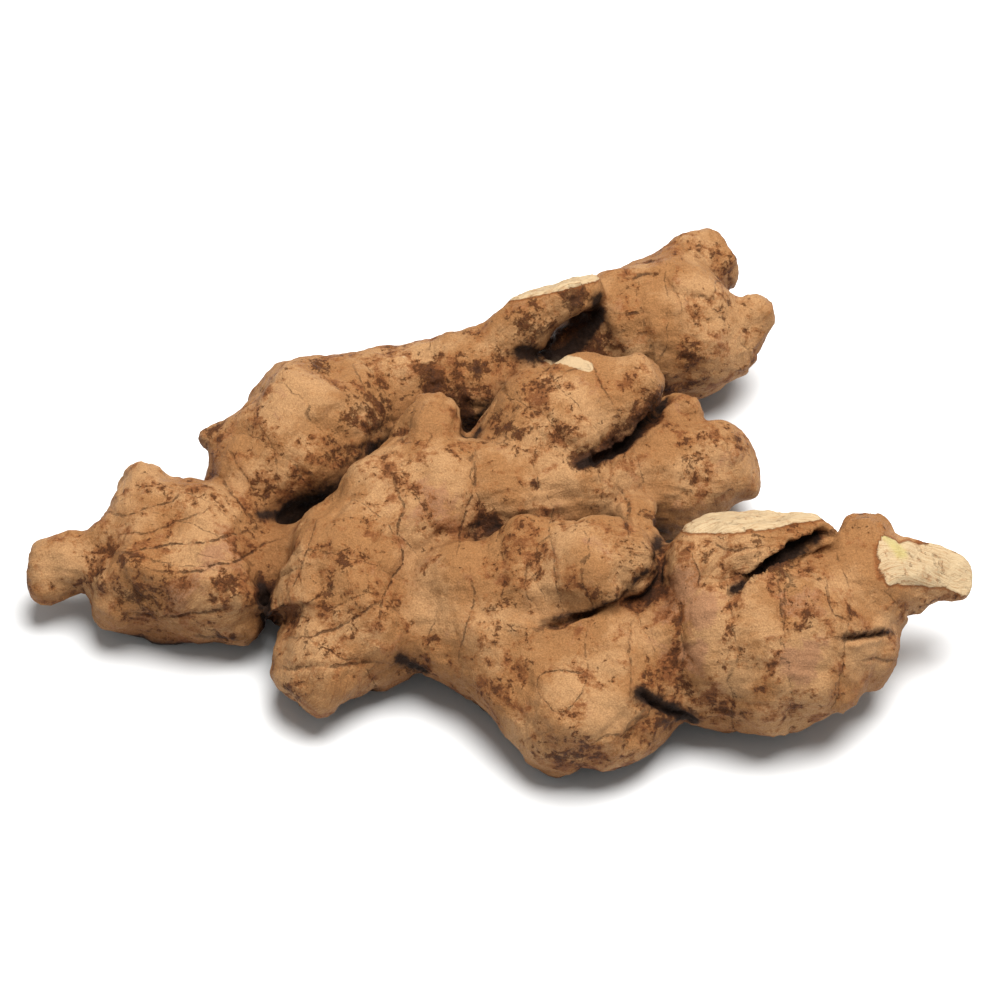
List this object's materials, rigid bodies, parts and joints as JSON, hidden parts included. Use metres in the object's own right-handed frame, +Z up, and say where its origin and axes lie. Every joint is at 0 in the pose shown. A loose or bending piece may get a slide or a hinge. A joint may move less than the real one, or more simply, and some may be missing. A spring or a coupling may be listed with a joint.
{
  "type": "ginger root",
  "caption": "Fresh ginger rhizome: swollen, branching limbs ringed by leaf scars, with bud knobs and flat cut shoots, resting on its underside.",
  "frame": {"origin": "on the table, under the middle of the hand's outline", "axes": "+Z up from the table, +X along the length of the hand from the old heel to the cut shoot at the right end, +Y away from the front limb"},
  "size_m": [0.1985, 0.1353, 0.0397],
  "materials": {
    "ginger_skin": "satin-matte thin tan skin with brown leaf-scar rings, earth specks and pale fibrous cut faces"
  },
  "bodies": {
    "root": {"rhizome": "ginger_skin"}
  },
  "joints": []
}
